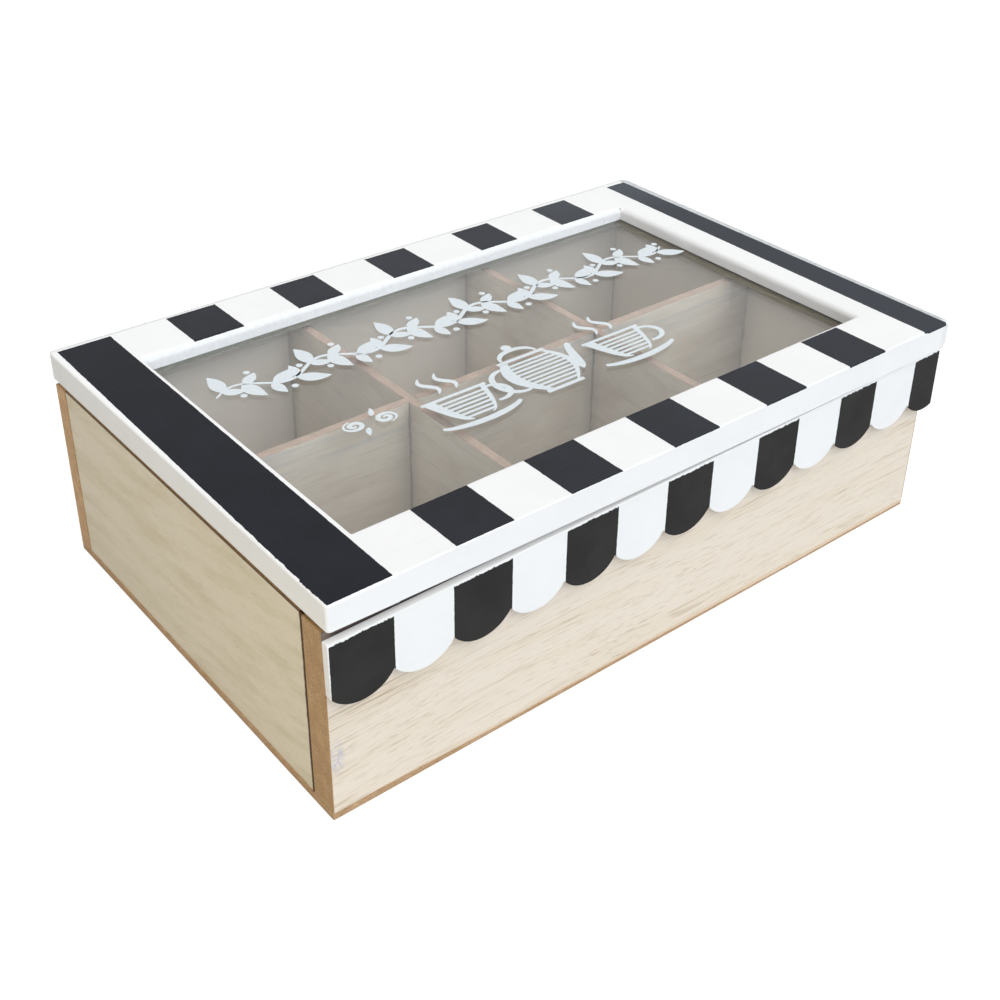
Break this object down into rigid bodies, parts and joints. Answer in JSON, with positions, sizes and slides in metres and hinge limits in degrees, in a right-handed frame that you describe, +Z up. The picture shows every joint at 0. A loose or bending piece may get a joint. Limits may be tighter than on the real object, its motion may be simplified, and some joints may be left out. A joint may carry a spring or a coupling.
{
  "type": "tea bag organizer box",
  "caption": "Rectangular wooden tea box with divided compartments, a hinged glazed lid painted in stripes and a scalloped awning along the front.",
  "frame": {"origin": "centre of the flat underside", "axes": "+X to the right along the length, +Y to the hinge side at the back, +Z up"},
  "size_m": [0.246, 0.1657, 0.0734],
  "materials": {
    "raw_fibreboard": "raw sawn edge",
    "whitewashed_panel": "thin white wash, fine grain",
    "bare_panel": "bare, matt",
    "divider_board": "bare, matt",
    "painted_awning": "black and white satin paint",
    "brad_steel": "plain",
    "hinge_brass": "plated",
    "screw_brass": "plated",
    "painted_frame": "white satin paint with black stripes",
    "dowel_wood": "bare",
    "window_glass": "clear",
    "bead_board": "raw sawn edge",
    "glass_print": "opaque white ink"
  },
  "bodies": {
    "box": {"base_board": "raw_fibreboard", "front_panel": "whitewashed_panel", "back_panel": "whitewashed_panel", "left_panel": "bare_panel", "right_panel": "bare_panel", "long_divider": "divider_board", "left_cross_divider": "divider_board", "right_cross_divider": "divider_board", "scalloped_awning": "painted_awning", "base_brads": "brad_steel", "left_hinge_box_leaf": "hinge_brass", "right_hinge_box_leaf": "hinge_brass", "left_hinge_pin": "hinge_brass", "right_hinge_pin": "hinge_brass", "left_hinge_box_screws": "screw_brass", "right_hinge_box_screws": "screw_brass"},
    "lid": {"lid_left_stile": "painted_frame", "lid_right_stile": "painted_frame", "lid_front_rail": "painted_frame", "lid_back_rail": "painted_frame", "lid_dowels": "dowel_wood", "glass_pane": "window_glass", "front_glass_bead": "bead_board", "back_glass_bead": "bead_board", "left_glass_bead": "bead_board", "right_glass_bead": "bead_board", "left_hinge_lid_leaf": "hinge_brass", "right_hinge_lid_leaf": "hinge_brass", "left_hinge_lid_screws": "screw_brass", "right_hinge_lid_screws": "screw_brass"}
  },
  "joints": [
    {"name": "lid_hinge", "type": "hinge", "parent": "box", "child": "lid", "pos_m": [0, 0.08295, 0.06395], "axis": [-1, 0, 0], "range_deg": [0, 106.5]}
  ]
}
